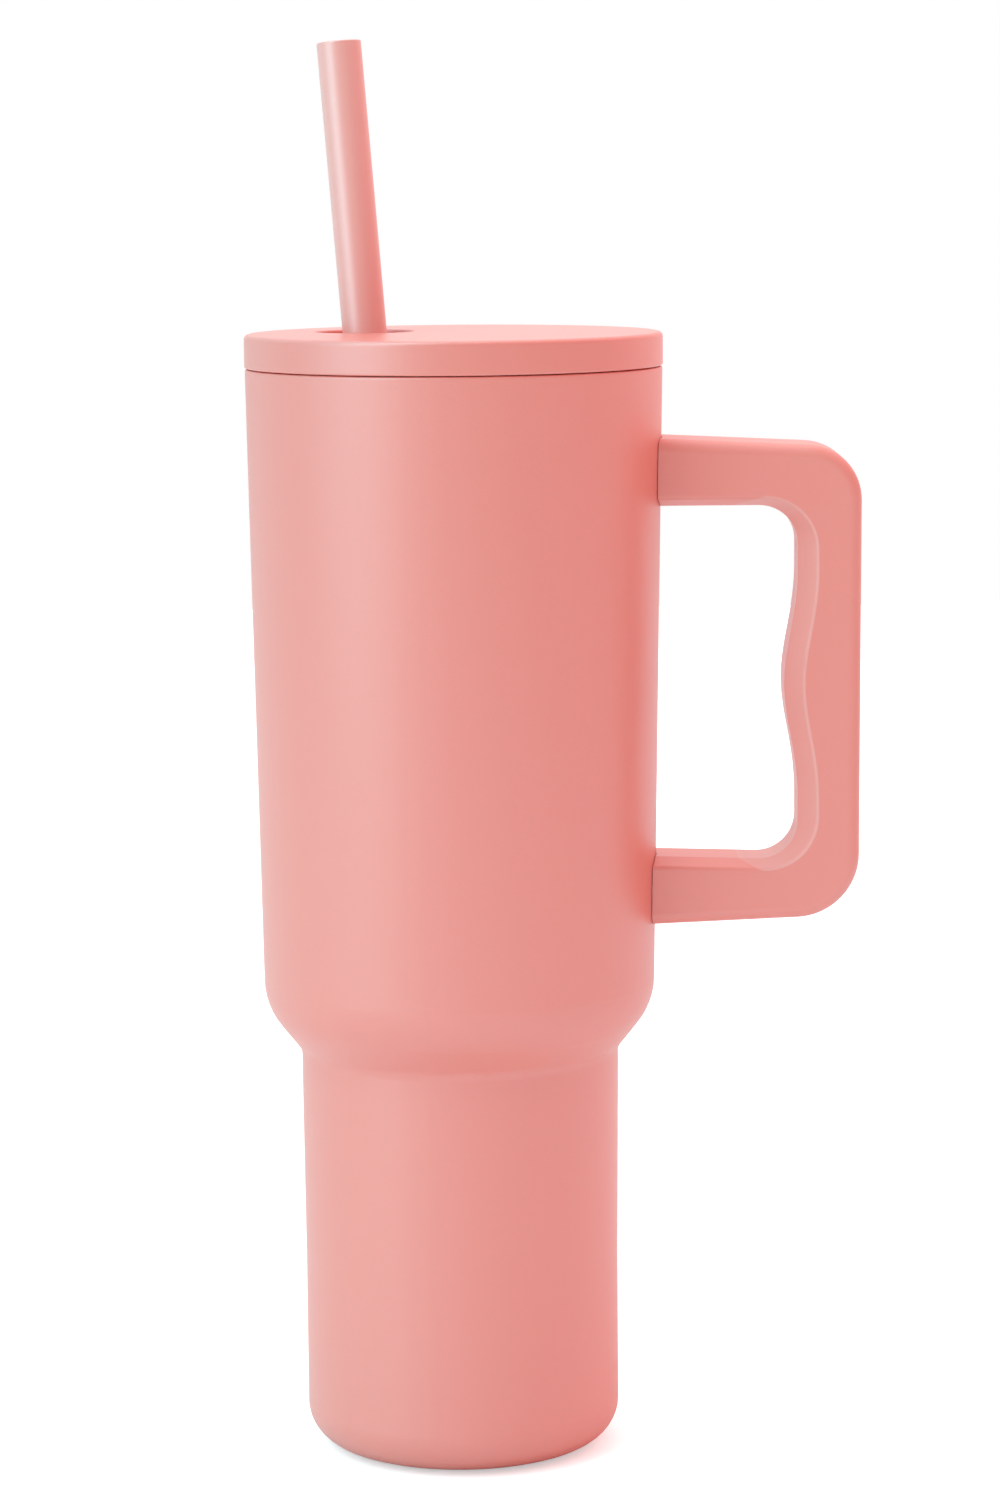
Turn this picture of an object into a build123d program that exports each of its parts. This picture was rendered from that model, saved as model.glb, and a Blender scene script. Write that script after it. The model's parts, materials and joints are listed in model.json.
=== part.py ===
from build123d import *
from math import atan2, tan
import os

# Insulated tumbler with a screw-in lid, a drinking straw and a side handle. Millimetres.
# The vessel's axis is Z, it rests on the plane Z = 0 and the handle points along +X.
os.makedirs("parts", exist_ok=True)

# --- Vessel: outer form -----------------------------------------------------------------
rim_z = 265.6               # top of the rolled rim
rim_r = 50.3                # outer radius at the rim
shoulder_r = 47.75          # outer radius at the foot of the upper barrel
shoulder_z = 110.5
neck_r = 38.9               # top of the lower barrel, which drops into a cup holder
neck_z = 99.3
holder_r = 38.5             # straight lower length of the cup-holder barrel
holder_top_z = 46.0
base_corner_r = 9.75
shoulder_round = 17.0
neck_round = 4.0
rim_round = 0.7

# --- Vessel: walls ----------------------------------------------------------------------
shell_wall = 0.8
vacuum_gap = 3.0
liner_wall = 0.8
mouth_straight = 21.6       # straight part of the mouth; the liner tapers below it
floor_z = 12.3              # inside floor of the cup
floor_corner_r = 8.0
liner_seam_z = 26.0         # weld between the liner tube and its pressed bottom

# --- Base -------------------------------------------------------------------------------
pad_proud = 0.4             # the pad stands this far below the steel
pad_r = 25.2
pad_fit = 0.3
base_plate_wall = 0.8
base_plate_lap = 2.0        # width that the plate laps over the shell's inturned foot
dimple_r = 6.0
dimple_top_r = 3.6
dimple_height = 2.2
evacuation_hole_r = 0.8
bead_r = 2.6
bead_height = 1.5
bead_round = 0.9
getter_x = 14.5
getter_r = 7.0
getter_height = 4.0
getter_wall = 0.5
pellet_height = 2.6
pellet_fit = 0.5
pellet_round = 0.3

# --- Screw thread between lid and liner ---------------------------------------------------
thread_lead = 8.0
thread_starts = 2
thread_start_turn = 25.0    # bearing in degrees at which the first ridge starts
thread_depth = 1.3          # how far the liner's ridges stand in from the wall
thread_root_width = 2.0
thread_crest_width = 1.2
thread_clearance = 0.3      # radial, each side
thread_plug_depth = 1.5     # how far the plug's ridges stand out
thread_embed = 0.3          # how far a ridge is rooted in its wall
thread_below_rim = 16.6     # where the liner's ridges start
liner_thread_height = 7.0
plug_thread_height = 6.0

# --- Lid ----------------------------------------------------------------------------------
seam_gap = 0.2              # between the rim and the lid's skirt
lid_proud = 0.1             # of the rim, all round
lid_height = 8.0
lid_wall = 2.4
skirt_wall = 2.8
lid_edge_round = 1.2
lid_foot_round = 0.4
plug_depth = 18.0           # below the skirt's foot
plug_wall = 2.2
plug_foot_round = 2.0
collar_inset = 0.1          # the plug's collar in from the mouth
collar_rise = 0.3
flange_height = 2.0
lid_fit = 0.3               # between the skirt, the flange and the seal
gasket_round = 0.4

# --- Straw and its seal ---------------------------------------------------------------------
straw_r = 5.4
straw_bore_r = 4.2
straw_x = -21.7             # where the straw's axis crosses the lid's top
straw_y = 12.0
straw_lean_x = -0.0792      # change of x and y for each millimetre of rise
straw_lean_y = 0.043
straw_foot_gap = 1.5        # axis end above the cup's floor
straw_rise = 69.7           # tip above the lid's top
straw_end_round = 0.35
dish_r = 12.0
dish_depth = 3.0
dish_edge_round = 0.5
seal_neck_r = 7.4
seal_neck_fit = 0.1
seal_flange_r = 9.3
seal_upper_flange = 1.2
seal_lower_flange = 1.4
seal_grip_gap = 0.15        # between the straw and the seal's bore
chimney_r = 10.0            # bore through the plug that the straw passes down
chimney_wall = 1.8

# --- Handle -----------------------------------------------------------------------------------
handle_width = 22.0
handle_top_reach = 47.55    # outer face beyond the rim's radius, at the top and at the bottom
handle_bottom_reach = 47.0
handle_below_rim = 16.9     # upper arm's top face at the vessel
upper_arm_fall = 2.6        # and how far it falls on its way out
upper_arm_height = 16.6
finger_height = 85.2        # between the arms at the vessel
lower_arm_fall = 1.1
lower_arm_height = 16.7
lower_under_lift = 2.2
handle_corner_r = 13.4      # outer corners: upper, and lower below
handle_low_corner_r = 15.6
finger_corner_r = 9.4
grip_thickness = 15.3
palm_swell = 3.3            # how far the grip swells towards the vessel
palm_swell_half = 28.0
handle_round = 3.0
handle_root_gap = 0.1
handle_root_depth = 4.0     # the arms are drawn this far into the wall, then cut back to it
handle_wall = 2.6
bevel_side = 4.4            # finger-side bevel along the grip, seen from the side
bevel_arm = 2.0             # and along the arms
bevel_width = 4.4           # across the handle
bevel_soften = 1.0          # rounding of the bevel's outer edge
grip_land = 0.5             # flat beside the bevel before the insert's seam
grip_lead_in = 8.0          # length over which the insert runs out on each arm
hollow_start = 27.25        # the hollow starts this far out from the shoulder's radius

# --- Handle fastening ---------------------------------------------------------------------------
tongue_width = 9.0
tongue_height = 5.0
tongue_length = 17.0
foot_width = 15.0
foot_height = 9.0
foot_thickness = 2.0
socket_fit = 0.4
screw_x_from_root = 10.0
screw_r = 2.0
screw_tap_gap = 0.1
screw_hole_r = 2.3
screw_head_r = 3.6
screw_head_height = 2.4
screw_head_round = 0.6
screw_ledge = 1.6
cover_r = 4.0
cover_height = 1.4
cover_fit = 0.1
driver_recess_r = 1.3
driver_recess_depth = 1.4


# =============================== Derived places ===============================================
foot_z = pad_proud
wall_stack = shell_wall + vacuum_gap + liner_wall
mouth_r = rim_r - wall_stack
mouth_straight_z = rim_z - mouth_straight
liner_thread_z = rim_z - thread_below_rim
shoulder_turn = atan2(shoulder_r - neck_r, shoulder_z - neck_z)
liner_lift = wall_stack * tan(shoulder_turn / 2)
plate_z = foot_z + shell_wall
foot_ring_r = pad_r + pad_fit

lid_r = rim_r + lid_proud
collar_r = mouth_r - collar_inset
lid_foot_z = rim_z + seam_gap
lid_top_z = lid_foot_z + lid_height
lid_under_z = lid_top_z - lid_wall
skirt_r = lid_r - skirt_wall
plug_r = mouth_r - thread_clearance - thread_plug_depth
plug_foot_z = lid_foot_z - plug_depth
dish_floor_z = lid_top_z - dish_depth
dish_under_z = dish_floor_z - lid_wall

straw_rate = Vector(straw_lean_x, straw_lean_y, 1)
straw_axis = straw_rate.normalized()
straw_cross = Vector(straw_x, straw_y, lid_top_z)
straw_foot = straw_cross + straw_rate * (floor_z + straw_foot_gap - lid_top_z)
straw_tip = straw_cross + straw_rate * straw_rise
straw_length = (straw_tip - straw_foot).length
straw_plane = Plane(origin=straw_foot, z_dir=straw_axis)

handle_top_x = rim_r + handle_top_reach
handle_bottom_x = rim_r + handle_bottom_reach
arm_top_root_z = rim_z - handle_below_rim
arm_top_out_z = arm_top_root_z - upper_arm_fall
upper_under_z = arm_top_root_z - upper_arm_height
lower_top_root_z = upper_under_z - finger_height
lower_top_out_z = lower_top_root_z - lower_arm_fall
lower_under_root_z = lower_top_root_z - lower_arm_height
lower_under_out_z = lower_under_root_z + lower_under_lift
hollow_start_x = shoulder_r + hollow_start
inner_x = handle_top_x - grip_thickness
finger_mid_z = (upper_under_z + lower_top_out_z) / 2
root_x = shoulder_r - handle_root_depth


def vessel_form():
    """Half section of the closed outer form, drawn in X and Z from the axis outwards."""
    points = [
        (0, foot_z),
        (holder_r, foot_z),
        (holder_r, holder_top_z),
        (neck_r, neck_z),
        (shoulder_r, shoulder_z),
        (rim_r, rim_z),
        (0, rim_z),
    ]
    FilletPolyline(*points, radius=[base_corner_r, 0, neck_round, shoulder_round, rim_round])
    Line((0, rim_z), (0, foot_z))


def drink_form():
    """Half section of the space inside the liner, run up past the mouth."""
    over = rim_z + plug_depth
    points = [
        (0, floor_z),
        (holder_r - wall_stack, floor_z),
        (holder_r - wall_stack, holder_top_z),
        (neck_r - wall_stack, neck_z + liner_lift),
        (shoulder_r - wall_stack, shoulder_z + liner_lift),
        (mouth_r, mouth_straight_z),
        (mouth_r, over),
        (0, over),
    ]
    radii = [floor_corner_r, 0, neck_round + wall_stack, shoulder_round - wall_stack, 0, 0]
    FilletPolyline(*points, radius=radii)
    Line((0, over), (0, floor_z))


def thread_ridge(start_z, height, base_r, stand, embed, start):
    """One helical ridge of the thread; stand is negative where the ridge points inwards."""
    turn = thread_start_turn + 360 * start / thread_starts
    side = 1 if stand > 0 else -1
    with BuildPart(mode=Mode.PRIVATE) as ridge:
        with BuildLine(Plane.XY.offset(start_z)) as path:
            Helix(pitch=thread_lead, height=height, radius=base_r)
        with BuildSketch(Plane.XZ) as section:
            with BuildLine():
                Polyline(
                    (base_r - side * embed, start_z - thread_root_width / 2),
                    (base_r + stand, start_z - thread_crest_width / 2),
                    (base_r + stand, start_z + thread_crest_width / 2),
                    (base_r - side * embed, start_z + thread_root_width / 2),
                    close=True,
                )
            make_face()
        sweep(path=path.line, is_frenet=True)
    return ridge.part.rotate(Axis.Z, turn)


def vessel_solid(grow):
    """The closed outer form, grown by this much on every side (negative shrinks it)."""
    with BuildPart(mode=Mode.PRIVATE) as solid:
        with BuildSketch(Plane.XZ):
            with BuildLine():
                vessel_form()
            make_face()
            mirror(about=Plane.YZ)
            offset(amount=grow, kind=Kind.INTERSECTION)
            with Locations((rim_r, rim_z / 2)):
                Rectangle(2 * rim_r, 2 * rim_z, mode=Mode.INTERSECT)
        revolve(axis=Axis.Z)
    return solid.part


# =============================== Vessel ========================================================
with BuildPart() as vessel_outside:
    with BuildSketch(Plane.XZ):
        with BuildLine():
            vessel_form()
        make_face()
    revolve(axis=Axis.Z)

with BuildPart() as outer_shell:
    add(vessel_outside.part)
    add(vessel_solid(-shell_wall), mode=Mode.SUBTRACT)
    with Locations((0, 0, rim_z)):
        Cylinder(mouth_r, plug_depth, mode=Mode.SUBTRACT)
    with Locations((0, 0, foot_z)):
        Cylinder(foot_ring_r, 4 * shell_wall, mode=Mode.SUBTRACT)

with BuildPart() as liner_solid:
    with BuildSketch(Plane.XZ):
        with BuildLine():
            drink_form()
        make_face()
        mirror(about=Plane.YZ)
        offset(amount=liner_wall, kind=Kind.INTERSECTION)
        with Locations((rim_r, (rim_z - shell_wall) / 2)):
            Rectangle(2 * rim_r, rim_z - shell_wall, mode=Mode.INTERSECT)
    revolve(axis=Axis.Z)
    with BuildSketch(Plane.XZ):
        with BuildLine():
            drink_form()
        make_face()
    revolve(axis=Axis.Z, mode=Mode.SUBTRACT)

with BuildPart() as inner_liner:
    add(liner_solid.part)
    split(bisect_by=Plane.XY.offset(liner_seam_z), keep=Keep.TOP)
    for start in range(thread_starts):
        add(
            thread_ridge(
                liner_thread_z,
                liner_thread_height,
                mouth_r,
                -thread_depth,
                thread_embed,
                start,
            )
        )

with BuildPart() as liner_bottom:
    add(liner_solid.part)
    split(bisect_by=Plane.XY.offset(liner_seam_z), keep=Keep.BOTTOM)

# The base plate closes the vacuum space; its dimple holds the sealed evacuation hole.
with BuildPart() as outer_bottom:
    with BuildSketch(Plane.XZ):
        with BuildLine():
            Polyline(
                (evacuation_hole_r, plate_z + dimple_height),
                (dimple_top_r, plate_z + dimple_height),
                (dimple_r, plate_z),
                (foot_ring_r + base_plate_lap, plate_z),
                (foot_ring_r + base_plate_lap, plate_z + base_plate_wall),
                (dimple_r + base_plate_wall / 2, plate_z + base_plate_wall),
                (dimple_top_r + base_plate_wall / 2, plate_z + dimple_height + base_plate_wall),
                (evacuation_hole_r, plate_z + dimple_height + base_plate_wall),
                close=True,
            )
        make_face()
    revolve(axis=Axis.Z)

with BuildPart() as seal_bead:
    with BuildSketch(Plane.XY.offset(plate_z + dimple_height)):
        Circle(bead_r)
    extrude(amount=-bead_height)
    fillet(seal_bead.edges().sort_by(Axis.Z)[0], bead_round)

with BuildPart() as base_pad:
    with BuildSketch(Plane.XY):
        Circle(pad_r)
    extrude(amount=plate_z)
    with BuildSketch(Plane.XY.offset(plate_z)):
        Circle(dimple_r)
    extrude(amount=-plate_z / 2, mode=Mode.SUBTRACT)
    fillet(base_pad.edges().sort_by(Axis.Z)[0], pad_proud / 2)

plate_top_z = plate_z + base_plate_wall
with BuildPart() as getter_holder:
    with BuildSketch(Plane.XY.offset(plate_top_z)):
        with Locations((getter_x, 0)):
            Circle(getter_r)
    extrude(amount=getter_height)
    with BuildSketch(Plane.XY.offset(plate_top_z + getter_wall)):
        with Locations((getter_x, 0)):
            Circle(getter_r - getter_wall)
    extrude(amount=getter_height, mode=Mode.SUBTRACT)

with BuildPart() as getter_pellet:
    with BuildSketch(Plane.XY.offset(plate_top_z + getter_wall)):
        with Locations((getter_x, 0)):
            Circle(getter_r - getter_wall - pellet_fit)
    extrude(amount=pellet_height)
    fillet(getter_pellet.edges().sort_by(Axis.Z)[-1], pellet_round)

# =============================== Lid ===========================================================
with BuildPart() as lid_cap:
    with BuildSketch(Plane.XZ):
        with BuildLine():
            Polyline(
                (0, lid_top_z),
                (lid_r, lid_top_z),
                (lid_r, lid_foot_z),
                (skirt_r, lid_foot_z),
                (skirt_r, lid_under_z),
                (0, lid_under_z),
                close=True,
            )
        make_face()
    revolve(axis=Axis.Z)
    fillet(lid_cap.edges().filter_by(GeomType.CIRCLE).group_by(Axis.Z)[-1], lid_edge_round)
    fillet(lid_cap.edges().group_by(Axis.Z)[0].sort_by(SortBy.LENGTH)[-1], lid_foot_round)
    with BuildSketch(Plane.XY.offset(dish_under_z)):
        with Locations((straw_x, straw_y)):
            Circle(dish_r + lid_wall)
    extrude(amount=lid_under_z - dish_under_z + lid_wall / 2)
    with BuildSketch(Plane.XY.offset(lid_top_z)):
        with Locations((straw_x, straw_y)):
            Circle(dish_r)
    extrude(amount=-dish_depth, mode=Mode.SUBTRACT)
    fillet(
        lid_cap.edges().filter_by(GeomType.CIRCLE).group_by(Axis.Z)[-1].sort_by(SortBy.LENGTH)[0],
        dish_edge_round,
    )
    with BuildSketch(Plane.XY.offset(dish_floor_z)):
        with Locations((straw_x, straw_y)):
            Circle(seal_neck_r + seal_neck_fit)
    extrude(amount=-2 * lid_wall, mode=Mode.SUBTRACT)

with BuildPart() as lid_plug:
    with BuildSketch(Plane.XZ):
        with BuildLine():
            Polyline(
                (0, plug_foot_z),
                (plug_r, plug_foot_z),
                (plug_r, lid_foot_z + collar_rise),
                (collar_r, lid_foot_z + collar_rise),
                (collar_r, lid_under_z - flange_height),
                (skirt_r - lid_fit, lid_under_z - flange_height),
                (skirt_r - lid_fit, lid_under_z),
                (plug_r - plug_wall, lid_under_z),
                (plug_r - plug_wall, plug_foot_z + plug_wall),
                (0, plug_foot_z + plug_wall),
                close=True,
            )
        make_face()
    revolve(axis=Axis.Z)
    fillet(lid_plug.edges().group_by(Axis.Z)[0], plug_foot_round)
    with BuildSketch(Plane.XY.offset(plug_foot_z)):
        with Locations((straw_x, straw_y)):
            Circle(chimney_r + chimney_wall)
    extrude(amount=dish_under_z - plug_foot_z)
    with BuildSketch(Plane.XY.offset(plug_foot_z)):
        with Locations((straw_x, straw_y)):
            Circle(chimney_r)
    extrude(amount=dish_under_z - plug_foot_z, mode=Mode.SUBTRACT)
    for start in range(thread_starts):
        add(
            thread_ridge(
                liner_thread_z + thread_lead / thread_starts / 2,
                plug_thread_height,
                plug_r,
                thread_plug_depth,
                thread_embed,
                start,
            )
        )

with BuildPart() as straw_seal:
    with BuildSketch(Plane.XY.offset(dish_under_z - seal_lower_flange)):
        with Locations((straw_x, straw_y)):
            Circle(seal_flange_r)
    extrude(amount=seal_lower_flange)
    with BuildSketch(Plane.XY.offset(dish_under_z)):
        with Locations((straw_x, straw_y)):
            Circle(seal_neck_r)
    extrude(amount=dish_floor_z - dish_under_z)
    with BuildSketch(Plane.XY.offset(dish_floor_z)):
        with Locations((straw_x, straw_y)):
            Circle(seal_flange_r)
    extrude(amount=seal_upper_flange)
    fillet(straw_seal.edges().group_by(Axis.Z)[-1], seal_upper_flange / 2)
    with BuildSketch(straw_plane):
        Circle(straw_r + seal_grip_gap)
    extrude(amount=straw_length, mode=Mode.SUBTRACT)

# The seal stands on the rim, inside the skirt and clear of the collar and the flange.
with BuildPart() as lid_gasket:
    with BuildSketch(Plane.XZ):
        with BuildLine():
            Polyline(
                (collar_r + lid_fit, rim_z),
                (skirt_r - lid_fit, rim_z),
                (skirt_r - lid_fit, lid_under_z - flange_height - lid_fit),
                (collar_r + lid_fit, lid_under_z - flange_height - lid_fit),
                close=True,
            )
        make_face()
    revolve(axis=Axis.Z)
    fillet(lid_gasket.edges().group_by(Axis.Z)[-1], gasket_round)

with BuildPart() as straw:
    with BuildSketch(straw_plane):
        Circle(straw_r)
        Circle(straw_bore_r, mode=Mode.SUBTRACT)
    extrude(amount=straw_length)
    fillet(straw.edges().filter_by(GeomType.CIRCLE), straw_end_round)


# =============================== Handle ========================================================
def finger_opening(side, arm):
    """Outline of the finger opening, pushed into the handle by side along the grip and by arm
    along the arms."""
    top_z = upper_under_z + arm
    low_z = lower_top_out_z - arm
    root_low_z = lower_top_root_z - arm
    corner = finger_corner_r + (side + arm) / 2
    wave_top = Vector(inner_x + side, finger_mid_z + palm_swell_half)
    wave_mid = Vector(inner_x + side - palm_swell, finger_mid_z)
    wave_low = Vector(inner_x + side, finger_mid_z - palm_swell_half)
    down = Vector(0, -1)
    FilletPolyline((root_x, top_z), (inner_x + side, top_z), wave_top, radius=[corner])
    Spline(wave_top, wave_mid, wave_low, tangents=[down, down, down])
    FilletPolyline(wave_low, (inner_x + side, low_z), (root_x, root_low_z), radius=[corner])
    Line((root_x, root_low_z), (root_x, top_z))


with BuildPart() as handle_form:
    with BuildSketch(Plane.XZ):
        with BuildLine():
            FilletPolyline(
                (root_x, arm_top_root_z),
                (handle_top_x, arm_top_out_z),
                (handle_bottom_x, lower_under_out_z),
                (root_x, lower_under_root_z),
                radius=[handle_corner_r, handle_low_corner_r],
            )
            Line((root_x, lower_under_root_z), (root_x, arm_top_root_z))
        make_face()
    extrude(amount=handle_width / 2, both=True)
    side_edges = handle_form.faces().filter_by(Axis.Y).edges()
    fillet(side_edges.filter_by(lambda edge: edge.center().X > shoulder_r), handle_round)
    with BuildSketch(Plane.XZ):
        with BuildLine():
            finger_opening(0, 0)
        make_face()
    extrude(amount=handle_width, both=True, mode=Mode.SUBTRACT)

with BuildPart() as finger_bevel:
    with BuildSketch(Plane.XZ.offset(handle_width / 2)):
        with BuildLine():
            finger_opening(bevel_side, bevel_arm)
        make_face()
    with BuildSketch(Plane.XZ.offset(handle_width / 2 - bevel_width)):
        with BuildLine():
            finger_opening(0, 0)
        make_face()
    loft(ruled=True)
    mirror(about=Plane.XZ)

def beside_opening(edge):
    """True for an edge that the finger bevel leaves on the handle's side faces."""
    reach = bevel_arm + bevel_soften
    middle = edge.center()
    in_height = lower_top_out_z - reach < middle.Z < upper_under_z + reach
    return in_height and shoulder_r < middle.X < inner_x + bevel_side + bevel_soften


with BuildPart() as handle_shape:
    add(handle_form.part)
    add(finger_bevel.part, mode=Mode.SUBTRACT)
    side_edges = handle_shape.faces().filter_by(Axis.Y).edges()
    fillet(side_edges.filter_by(beside_opening), bevel_soften)
    add(vessel_solid(handle_root_gap), mode=Mode.SUBTRACT)

with BuildPart() as grip_region:
    with BuildSketch(Plane.XZ):
        with BuildLine():
            finger_opening(bevel_side + grip_land, bevel_arm + grip_land)
        make_face()
        with BuildLine():
            run_out_x = inner_x - 2 * grip_lead_in
            Polyline(
                (run_out_x, upper_under_z),
                (run_out_x + grip_lead_in, upper_under_z + bevel_arm + grip_land),
                (handle_top_x, upper_under_z + handle_corner_r),
                (handle_top_x, lower_top_out_z - handle_low_corner_r),
                (run_out_x + grip_lead_in, lower_top_out_z - bevel_arm - grip_land),
                (run_out_x, lower_top_root_z),
                close=True,
            )
        make_face(mode=Mode.INTERSECT)
    extrude(amount=handle_width, both=True)

with BuildPart() as handle_hollow:
    with BuildSketch(Plane.XZ):
        with BuildLine():
            FilletPolyline(
                (hollow_start_x, arm_top_out_z - handle_wall),
                (handle_top_x - handle_wall, arm_top_out_z - handle_wall),
                (handle_bottom_x - handle_wall, lower_under_out_z + handle_wall),
                (hollow_start_x, lower_under_out_z + handle_wall),
                radius=[handle_corner_r - handle_wall, handle_low_corner_r - handle_wall],
            )
            Line(
                (hollow_start_x, lower_under_out_z + handle_wall),
                (hollow_start_x, arm_top_out_z - handle_wall),
            )
        make_face()
    extrude(amount=handle_width / 2 - handle_wall, both=True)

with BuildPart() as handle_grip:
    add(handle_shape.part)
    add(grip_region.part, mode=Mode.INTERSECT)


def shell_radius(z):
    """Outer radius of the upper barrel at a height."""
    return rim_r - (rim_r - shoulder_r) * (rim_z - z) / (rim_z - shoulder_z)


fastening = {}
for place, under_z in {"upper": upper_under_z, "lower": lower_under_root_z}.items():
    root = shell_radius(under_z)
    screw_x = root + screw_x_from_root
    slope = (lower_under_out_z - lower_under_root_z) / (handle_bottom_x - root_x)
    face_z = under_z + (slope * (screw_x - root_x) if place == "lower" else 0)
    head_z = face_z + cover_height
    ledge_z = head_z + screw_head_height
    socket_z = ledge_z + screw_ledge
    mid_z = socket_z + socket_fit + tongue_height / 2
    fastening[place] = (root, screw_x, head_z, ledge_z, socket_z, mid_z)

    with BuildPart() as bracket:
        with BuildSketch(Plane.YZ.offset(root - 2 * foot_thickness)):
            with Locations((0, mid_z)):
                Rectangle(foot_width, foot_height)
        extrude(amount=3 * foot_thickness)
        with BuildSketch(Plane.YZ.offset(root - foot_thickness)):
            with Locations((0, mid_z)):
                Rectangle(tongue_width, tongue_height)
        extrude(amount=tongue_length + foot_thickness)
        add(vessel_outside.part, mode=Mode.SUBTRACT)
        with BuildSketch(Plane.XY.offset(mid_z - tongue_height)):
            with Locations((screw_x, 0)):
                Circle(screw_r + screw_tap_gap)
        extrude(amount=2 * tongue_height, mode=Mode.SUBTRACT)
    bracket.part.label = f"{place}_bracket"
    export_step(bracket.part, f"parts/{place}_bracket.step")

    with BuildPart() as screw:
        with BuildSketch(Plane.XY.offset(head_z)):
            with Locations((screw_x, 0)):
                Circle(screw_head_r)
        extrude(amount=screw_head_height)
        fillet(screw.edges().group_by(Axis.Z)[0], screw_head_round)
        with BuildSketch(Plane.XY.offset(ledge_z)):
            with Locations((screw_x, 0)):
                Circle(screw_r)
        extrude(amount=mid_z + tongue_height / 2 - ledge_z)
        with BuildSketch(Plane.XY.offset(head_z)):
            with Locations((screw_x, 0)):
                RegularPolygon(driver_recess_r, 6)
        extrude(amount=driver_recess_depth, mode=Mode.SUBTRACT)
    screw.part.label = f"{place}_screw"
    export_step(screw.part, f"parts/{place}_screw.step")

    with BuildPart() as cover:
        with BuildSketch(Plane.XY.offset(head_z)):
            with Locations((screw_x, 0)):
                Circle(cover_r)
        extrude(amount=-3 * cover_height)
        add(handle_form.part, mode=Mode.INTERSECT)
    cover.part.label = f"{place}_screw_cover"
    export_step(cover.part, f"parts/{place}_screw_cover.step")

with BuildPart() as handle_body:
    add(handle_shape.part)
    add(grip_region.part, mode=Mode.SUBTRACT)
    add(handle_hollow.part, mode=Mode.SUBTRACT)
    for root, screw_x, head_z, ledge_z, socket_z, mid_z in fastening.values():
        with BuildSketch(Plane.YZ.offset(root - 2 * foot_thickness)):
            with Locations((0, mid_z)):
                Rectangle(foot_width + 2 * socket_fit, foot_height + 2 * socket_fit)
        extrude(amount=3 * foot_thickness + socket_fit, mode=Mode.SUBTRACT)
        with BuildSketch(Plane.YZ.offset(root - foot_thickness)):
            with Locations((0, mid_z)):
                Rectangle(tongue_width + 2 * socket_fit, tongue_height + 2 * socket_fit)
        extrude(amount=tongue_length + foot_thickness + socket_fit, mode=Mode.SUBTRACT)
        with BuildSketch(Plane.XY.offset(ledge_z)):
            with Locations((screw_x, 0)):
                Circle(screw_hole_r)
        extrude(amount=screw_ledge, mode=Mode.SUBTRACT)
        with BuildSketch(Plane.XY.offset(ledge_z)):
            with Locations((screw_x, 0)):
                Circle(cover_r + cover_fit)
        extrude(amount=-3 * screw_head_height, mode=Mode.SUBTRACT)

# =============================== Pieces ========================================================
for name, piece in {
    "outer_shell": outer_shell,
    "inner_liner": inner_liner,
    "liner_bottom": liner_bottom,
    "outer_bottom": outer_bottom,
    "seal_bead": seal_bead,
    "base_pad": base_pad,
    "getter_holder": getter_holder,
    "getter_pellet": getter_pellet,
    "lid_cap": lid_cap,
    "lid_plug": lid_plug,
    "straw_seal": straw_seal,
    "lid_gasket": lid_gasket,
    "straw": straw,
    "handle_body": handle_body,
    "handle_grip": handle_grip,
}.items():
    piece.part.label = name
    export_step(piece.part, f"parts/{name}.step")
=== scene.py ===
import json
import math

import bmesh
import bpy
from mathutils import Matrix

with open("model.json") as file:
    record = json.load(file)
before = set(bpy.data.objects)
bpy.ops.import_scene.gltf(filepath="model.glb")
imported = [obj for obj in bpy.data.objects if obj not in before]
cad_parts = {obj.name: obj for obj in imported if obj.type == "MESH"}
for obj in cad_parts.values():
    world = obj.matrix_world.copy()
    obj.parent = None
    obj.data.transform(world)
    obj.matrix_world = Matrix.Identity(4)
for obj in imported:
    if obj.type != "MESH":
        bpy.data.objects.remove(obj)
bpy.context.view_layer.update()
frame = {"nodes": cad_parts, "record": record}
scene = bpy.context.scene
print("frame loaded:", len(frame["nodes"]), "nodes")

cameraSet = {
    "place": (0.0104, -1.040, 0.3149),
    "pitch": 0.1363,      # radians below level
    "roll": -0.0084,
    "lens": 103.3,
    "sensor": 36.0,
    "reach": 20.0,
}


def makeCamera(s):
    data = bpy.data.cameras.new("productCamera")
    data.lens = s["lens"]
    data.sensor_width = s["sensor"]
    data.clip_end = s["reach"]
    camera = bpy.data.objects.new("productCamera", data)
    scene.collection.objects.link(camera)
    turn = Matrix.Rotation(math.pi / 2 - s["pitch"], 4, "X") @ Matrix.Rotation(s["roll"], 4, "Z")
    camera.matrix_world = Matrix.Translation(s["place"]) @ turn
    scene.camera = camera


makeCamera(cameraSet)
print("camera set")


def newGroup(name, inputs, outputs):
    group = bpy.data.node_groups.new(name, "ShaderNodeTree")
    for label, kind, value in inputs:
        socket = group.interface.new_socket(label, in_out="INPUT", socket_type=kind)
        socket.default_value = value
    for label, kind in outputs:
        group.interface.new_socket(label, in_out="OUTPUT", socket_type=kind)
    return group, group.nodes.new("NodeGroupInput"), group.nodes.new("NodeGroupOutput")


def feed(tree, socket, value):
    # a value is set on the socket, another socket is linked to it
    if isinstance(value, bpy.types.NodeSocket):
        tree.links.new(value, socket)
    else:
        socket.default_value = value


def mathNode(tree, operation, first, second=0.0):
    node = tree.nodes.new("ShaderNodeMath")
    node.operation = operation
    feed(tree, node.inputs[0], first)
    feed(tree, node.inputs[1], second)
    return node.outputs[0]


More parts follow.
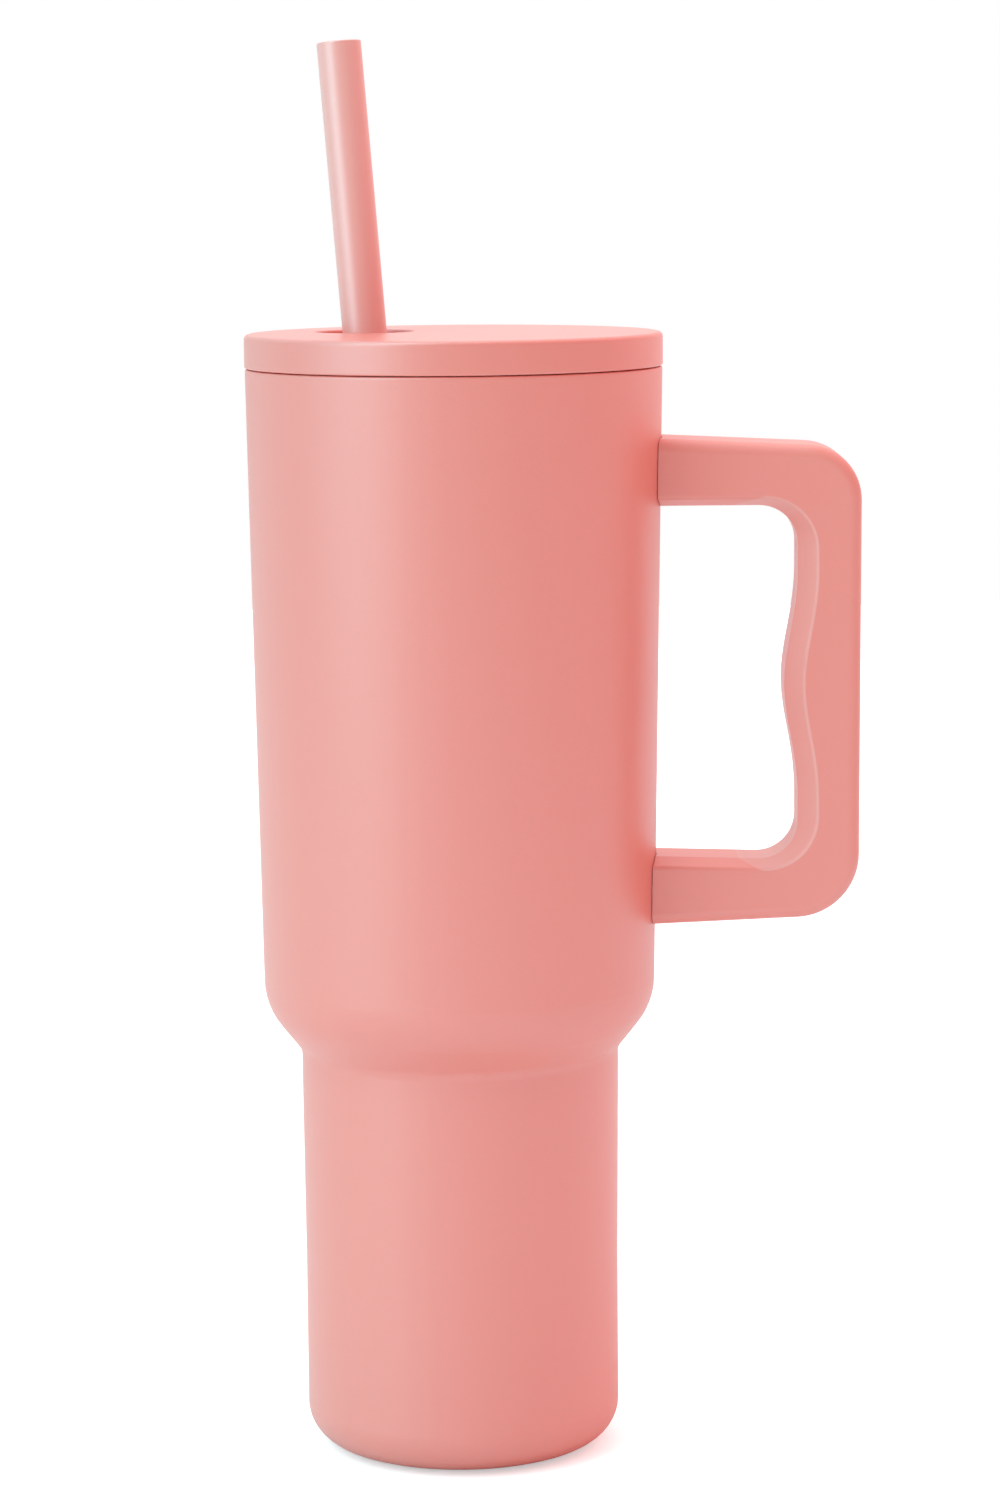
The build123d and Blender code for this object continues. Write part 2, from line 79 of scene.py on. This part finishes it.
def noiseNode(tree, vector, scale, detail, roughness=0.5):
    node = tree.nodes.new("ShaderNodeTexNoise")
    tree.links.new(vector, node.inputs["Vector"])
    feed(tree, node.inputs["Scale"], scale)
    node.inputs["Detail"].default_value = detail
    node.inputs["Roughness"].default_value = roughness
    return node.outputs["Fac"]


def makeFineGrain():
    # powder or spark-eroded grain, with a broader ripple under it
    group, inside, outside = newGroup(
        "fineGrain",
        [
            ("Vector", "NodeSocketVector", (0, 0, 0)),
            ("Grains Per Metre", "NodeSocketFloat", 2500.0),
            ("Ripples Per Metre", "NodeSocketFloat", 350.0),
            ("Ripple Share", "NodeSocketFloat", 0.3),
        ],
        [("Height", "NodeSocketFloat"), ("Speck", "NodeSocketFloat")],
    )
    vector = inside.outputs["Vector"]
    grain = noiseNode(group, vector, inside.outputs["Grains Per Metre"], detail=2.0, roughness=0.6)
    ripple = noiseNode(group, vector, inside.outputs["Ripples Per Metre"], detail=1.0)
    share = inside.outputs["Ripple Share"]
    rest = mathNode(group, "SUBTRACT", 1.0, share)
    both = mathNode(
        group, "ADD", mathNode(group, "MULTIPLY", grain, rest), mathNode(group, "MULTIPLY", ripple, share)
    )
    group.links.new(both, outside.inputs["Height"])
    group.links.new(grain, outside.inputs["Speck"])
    return group


def makeToneDrift():
    # slow drift of colour and roughness over a surface, with fine flecks
    group, inside, outside = newGroup(
        "toneDrift",
        [
            ("Vector", "NodeSocketVector", (0, 0, 0)),
            ("Speck", "NodeSocketFloat", 0.5),
            ("Base", "NodeSocketColor", (1, 1, 1, 1)),
            ("Deep", "NodeSocketColor", (1, 1, 1, 1)),
            ("Patches Per Metre", "NodeSocketFloat", 12.0),
            ("Fleck", "NodeSocketFloat", 0.1),
            ("Roughness", "NodeSocketFloat", 0.5),
            ("Roughness Spread", "NodeSocketFloat", 0.05),
        ],
        [("Color", "NodeSocketColor"), ("Roughness", "NodeSocketFloat")],
    )
    patch = noiseNode(group, inside.outputs["Vector"], inside.outputs["Patches Per Metre"], detail=3.0)
    speck = mathNode(group, "SUBTRACT", inside.outputs["Speck"], 0.5)
    fleck = mathNode(group, "MULTIPLY", speck, inside.outputs["Fleck"])
    blend = mathNode(group, "ADD", patch, fleck)
    mix = group.nodes.new("ShaderNodeMix")
    mix.data_type = "RGBA"
    group.links.new(blend, mix.inputs["Factor"])
    group.links.new(inside.outputs["Base"], mix.inputs["A"])
    group.links.new(inside.outputs["Deep"], mix.inputs["B"])
    group.links.new(mix.outputs["Result"], outside.inputs["Color"])
    centred = mathNode(group, "SUBTRACT", patch, 0.5)
    spread = mathNode(group, "MULTIPLY", centred, inside.outputs["Roughness Spread"])
    rough = mathNode(group, "ADD", inside.outputs["Roughness"], spread)
    group.links.new(rough, outside.inputs["Roughness"])
    return group


def makeDrawnLines():
    # fine lines along one direction, as on brushed steel or an extruded tube
    group, inside, outside = newGroup(
        "drawnLines",
        [
            ("Vector", "NodeSocketVector", (0, 0, 0)),
            ("Stretch", "NodeSocketVector", (1, 1, 1)),
            ("Lines Per Metre", "NodeSocketFloat", 3000.0),
        ],
        [("Height", "NodeSocketFloat")],
    )
    stretch = group.nodes.new("ShaderNodeVectorMath")
    stretch.operation = "MULTIPLY"
    group.links.new(inside.outputs["Vector"], stretch.inputs[0])
    group.links.new(inside.outputs["Stretch"], stretch.inputs[1])
    lines = noiseNode(group, stretch.outputs[0], inside.outputs["Lines Per Metre"], detail=3.0, roughness=0.7)
    group.links.new(lines, outside.inputs["Height"])
    return group


fineGrain = makeFineGrain()
toneDrift = makeToneDrift()
drawnLines = makeDrawnLines()
print("shared effects built")


def newMaterial(name):
    material = bpy.data.materials.new(name)
    material.use_nodes = True
    tree = material.node_tree
    tree.nodes.clear()
    shader = tree.nodes.new("ShaderNodeBsdfPrincipled")
    output = tree.nodes.new("ShaderNodeOutputMaterial")
    tree.links.new(shader.outputs["BSDF"], output.inputs["Surface"])
    place = tree.nodes.new("ShaderNodeTexCoord")
    return material, tree, shader, place.outputs["Object"]


def groupNode(tree, group, values):
    node = tree.nodes.new("ShaderNodeGroup")
    node.node_tree = group
    for label, value in values.items():
        feed(tree, node.inputs[label], value)
    return node


def bumpNode(tree, height, depth, under=None):
    bump = tree.nodes.new("ShaderNodeBump")
    bump.inputs["Strength"].default_value = 1.0
    bump.inputs["Distance"].default_value = depth
    tree.links.new(height, bump.inputs["Height"])
    if under is not None:
        tree.links.new(under, bump.inputs["Normal"])
    return bump.outputs["Normal"]


def grainedMaterial(name, s):
    # painted, moulded or soft surface: grain, colour drift and a Principled shader
    material, tree, shader, place = newMaterial(name)
    grain = groupNode(tree, fineGrain, {
        "Vector": place,
        "Grains Per Metre": s["grains"],
        "Ripples Per Metre": s["ripples"],
        "Ripple Share": s["rippleShare"],
    })
    tone = groupNode(tree, toneDrift, {
        "Vector": place,
        "Speck": grain.outputs["Speck"],
        "Base": (*s["colour"], 1),
        "Deep": (*s["deep"], 1),
        "Patches Per Metre": s["patches"],
        "Fleck": s["fleck"],
        "Roughness": s["roughness"],
        "Roughness Spread": s["roughnessSpread"],
    })
    tree.links.new(tone.outputs["Color"], shader.inputs["Base Color"])
    tree.links.new(tone.outputs["Roughness"], shader.inputs["Roughness"])
    tree.links.new(bumpNode(tree, grain.outputs["Height"], s["depth"]), shader.inputs["Normal"])
    for label, value in s["shader"].items():
        shader.inputs[label].default_value = value
    return material


coral = (0.80, 0.186, 0.143)
coralDeep = (0.79, 0.178, 0.137)

bodyCoatSet = {
    "colour": coral, "deep": coralDeep, "patches": 9.0, "fleck": 0.5,
    "grains": 2600.0, "ripples": 420.0, "rippleShare": 0.35, "depth": 0.00006,
    "roughness": 0.40, "roughnessSpread": 0.04,
    "shader": {"Specular IOR Level": 1.0, "IOR": 1.65},
}
bodyCoat = grainedMaterial("bodyCoat", bodyCoatSet)

lidPlasticSet = {
    **bodyCoatSet, "grains": 3200.0, "ripples": 260.0, "rippleShare": 0.2, "depth": 0.00003,
    "roughness": 0.36, "roughnessSpread": 0.04,
}
lidPlastic = grainedMaterial("lidPlastic", lidPlasticSet)
lidInnerPlastic = grainedMaterial("lidInnerPlastic", {**lidPlasticSet, "roughness": 0.45})

handlePlasticSet = {
    **bodyCoatSet, "grains": 3000.0, "ripples": 300.0, "rippleShare": 0.25, "depth": 0.00004,
    "roughness": 0.42,
}
handlePlastic = grainedMaterial("handlePlastic", handlePlasticSet)

# grip insert: its colour is painted paler than the handle, a painted highlight standing in for the light that
# falls on its bevelled inner face
gripPaintedLitSet = {
    **bodyCoatSet, "colour": (0.80, 0.31, 0.27), "deep": (0.79, 0.30, 0.26),
    "grains": 2200.0, "depth": 0.00005, "roughness": 0.5,
    "shader": {"Specular IOR Level": 0.8, "Sheen Weight": 0.15, "Sheen Roughness": 0.4},
}
gripPaintedLitRubber = grainedMaterial("gripPaintedLitRubber", gripPaintedLitSet)

strawPlasticSet = {
    **bodyCoatSet, "colour": (0.84, 0.31, 0.265), "deep": (0.83, 0.30, 0.255),
    "grains": 1800.0, "ripples": 200.0, "depth": 0.00001, "fleck": 0.1, "roughness": 0.33,
    "roughnessSpread": 0.05,
}
strawPlastic = grainedMaterial("strawPlastic", strawPlasticSet)

sealSiliconeSet = {**bodyCoatSet, "depth": 0.00003, "roughness": 0.55, "colour": (0.74, 0.200, 0.155)}
sealSilicone = grainedMaterial("sealSilicone", sealSiliconeSet)
padSilicone = grainedMaterial("padSilicone", {**sealSiliconeSet, "colour": (0.72, 0.205, 0.165)})

gasketSiliconeSet = {
    **sealSiliconeSet, "colour": (0.80, 0.77, 0.74), "deep": (0.74, 0.71, 0.68),
    "shader": {"Specular IOR Level": 0.45, "Subsurface Weight": 0.3, "Subsurface Scale": 0.002},
}
gasketSilicone = grainedMaterial("gasketSilicone", gasketSiliconeSet)

brushedSet = {
    "lines": 3500.0, "depth": 0.00002, "deepShare": 0.8,
    "patches": 15.0, "fleck": 1.0, "roughnessSpread": 0.1,
}
steelSet = {
    "bareSteel": {"colour": (0.78, 0.78, 0.78), "roughness": 0.28, "stretch": (0.02, 0.02, 1.0)},
    "screwSteel": {"colour": (0.42, 0.42, 0.43), "roughness": 0.35, "stretch": (1.0, 1.0, 0.1)},
    "getterMetal": {"colour": (0.30, 0.30, 0.31), "roughness": 0.6, "stretch": (1.0, 1.0, 1.0)},
}


def metalMaterial(name, s):
    material, tree, shader, place = newMaterial(name)
    lines = groupNode(tree, drawnLines, {
        "Vector": place,
        "Stretch": s["stretch"],
        "Lines Per Metre": s["lines"],
    })
    tone = groupNode(tree, toneDrift, {
        "Vector": place,
        "Speck": lines.outputs["Height"],
        "Base": (*s["colour"], 1),
        "Deep": (*[s["deepShare"] * value for value in s["colour"]], 1),
        "Patches Per Metre": s["patches"],
        "Fleck": s["fleck"],
        "Roughness": s["roughness"],
        "Roughness Spread": s["roughnessSpread"],
    })
    tree.links.new(tone.outputs["Color"], shader.inputs["Base Color"])
    tree.links.new(tone.outputs["Roughness"], shader.inputs["Roughness"])
    tree.links.new(bumpNode(tree, lines.outputs["Height"], s["depth"]), shader.inputs["Normal"])
    shader.inputs["Metallic"].default_value = 1.0
    return material


metals = {name: metalMaterial(name, {**brushedSet, **s}) for name, s in steelSet.items()}

sealGlassSet = {**bodyCoatSet, "colour": (0.35, 0.37, 0.36), "deep": (0.25, 0.27, 0.26), "roughness": 0.15}
sealGlass = grainedMaterial("sealGlass", sealGlassSet)

slotMaterials = {
    "body_coat": bodyCoat,
    "bare_steel": metals["bareSteel"],
    "seal_glass": sealGlass,
    "getter_metal": metals["getterMetal"],
    "pad_silicone": padSilicone,
    "screw_steel": metals["screwSteel"],
    "handle_plastic": handlePlastic,
    "grip_rubber": gripPaintedLitRubber,
    "lid_plastic": lidPlastic,
    "lid_inner_plastic": lidInnerPlastic,
    "gasket_silicone": gasketSilicone,
    "seal_silicone": sealSilicone,
    "straw_plastic": strawPlastic,
}
for row in frame["record"]["subparts"]:
    node = frame["nodes"][row["node"]]
    for holder in node.material_slots:
        holder.material = slotMaterials[row["material_slot"]]
print("materials given to the CAD nodes")

studioSet = {
    "floorHalf": 2.0,
    "floorColour": (0.85, 0.85, 0.85),
    "floorRoughness": 0.9,
    "floorSpecular": 0.1,
    "floorGlow": 0.45,        # only the camera sees it, so that the sweep runs out to plain white
    "coolness": 0.62,         # how much less red the left half of the room sends
    "pinkness": 0.09,         # how much less green the left half sends
    "warmth": 0.36,           # how much less green and blue the right half sends
    "ceiling": 0.8,           # how much brighter the room is straight overhead
    # brightness of the room's walls round the object, by the bearing in degrees:
    # 0 is towards the front, negative is to the left
    "walls": {
        -180: 1.18, -150: 0.95, -125: 1.25, -105: 1.00, -90: 0.85, -75: 1.90, -62: 3.10, -50: 3.90,
        -38: 2.60, -25: 1.00, -10: 0.54, 10: 0.60, 40: 0.54, 70: 0.86, 90: 0.88, 110: 1.20, 135: 1.25,
        160: 1.15, 180: 1.18,
    },
}


def makeFloor(s):
    mesh = bpy.data.meshes.new("studioFloor")
    bm = bmesh.new()
    bmesh.ops.create_grid(bm, x_segments=1, y_segments=1, size=s["floorHalf"])
    bm.to_mesh(mesh)
    bm.free()
    floor = bpy.data.objects.new("studioFloor", mesh)
    scene.collection.objects.link(floor)
    material, tree, shader, place = newMaterial("studioFloor")
    shader.inputs["Base Color"].default_value = (*s["floorColour"], 1)
    shader.inputs["Roughness"].default_value = s["floorRoughness"]
    shader.inputs["Specular IOR Level"].default_value = s["floorSpecular"]
    shader.inputs["Emission Color"].default_value = (1, 1, 1, 1)
    seen = tree.nodes.new("ShaderNodeLightPath").outputs["Is Camera Ray"]
    tree.links.new(mathNode(tree, "MULTIPLY", seen, s["floorGlow"]), shader.inputs["Emission Strength"])
    mesh.materials.append(material)


def makeRoom(s):
    # soft walls of light round the object; behind it the camera sees plain white
    world = bpy.data.worlds.new("studioRoom")
    world.use_nodes = True
    scene.world = world
    tree = world.node_tree
    tree.nodes.clear()
    parts = tree.nodes.new("ShaderNodeSeparateXYZ")
    tree.links.new(tree.nodes.new("ShaderNodeTexCoord").outputs["Generated"], parts.inputs["Vector"])
    front = mathNode(tree, "MULTIPLY", parts.outputs["Y"], -1.0)
    bearing = mathNode(tree, "ARCTAN2", parts.outputs["X"], front)
    turn = mathNode(tree, "ADD", mathNode(tree, "DIVIDE", bearing, math.tau), 0.5)
    ramp = tree.nodes.new("ShaderNodeValToRGB")
    tree.links.new(turn, ramp.inputs["Fac"])
    brightest = max(s["walls"].values())
    stops = ramp.color_ramp.elements
    stops.remove(stops[1])
    for step, (degrees, brightness) in enumerate(sorted(s["walls"].items())):
        position = degrees / 360 + 0.5
        stop = stops.new(position) if step else stops[0]
        stop.position = position
        share = brightness / brightest
        side = math.sin(math.radians(degrees))
        red = share * (1 - s["coolness"] * max(0.0, -side))
        blue = share * (1 - s["warmth"] * max(0.0, side))
        green = blue * (1 - s["pinkness"] * max(0.0, -side))
        stop.color = (red, green, blue, 1)
    walls = tree.nodes.new("ShaderNodeBackground")
    tree.links.new(ramp.outputs["Color"], walls.inputs["Color"])
    upward = mathNode(tree, "MAXIMUM", parts.outputs["Z"])
    overhead = mathNode(tree, "MULTIPLY", mathNode(tree, "POWER", upward, 2.0), s["ceiling"] * brightest)
    tree.links.new(mathNode(tree, "ADD", overhead, brightest), walls.inputs["Strength"])
    plain = tree.nodes.new("ShaderNodeBackground")
    plain.inputs["Color"].default_value = (1, 1, 1, 1)
    seen = tree.nodes.new("ShaderNodeLightPath").outputs["Is Camera Ray"]
    mix = tree.nodes.new("ShaderNodeMixShader")
    tree.links.new(seen, mix.inputs["Fac"])
    tree.links.new(walls.outputs["Background"], mix.inputs[1])
    tree.links.new(plain.outputs["Background"], mix.inputs[2])
    output = tree.nodes.new("ShaderNodeOutputWorld")
    tree.links.new(mix.outputs["Shader"], output.inputs["Surface"])


makeFloor(studioSet)
makeRoom(studioSet)
scene.view_settings.view_transform = "Standard"
print("studio built")
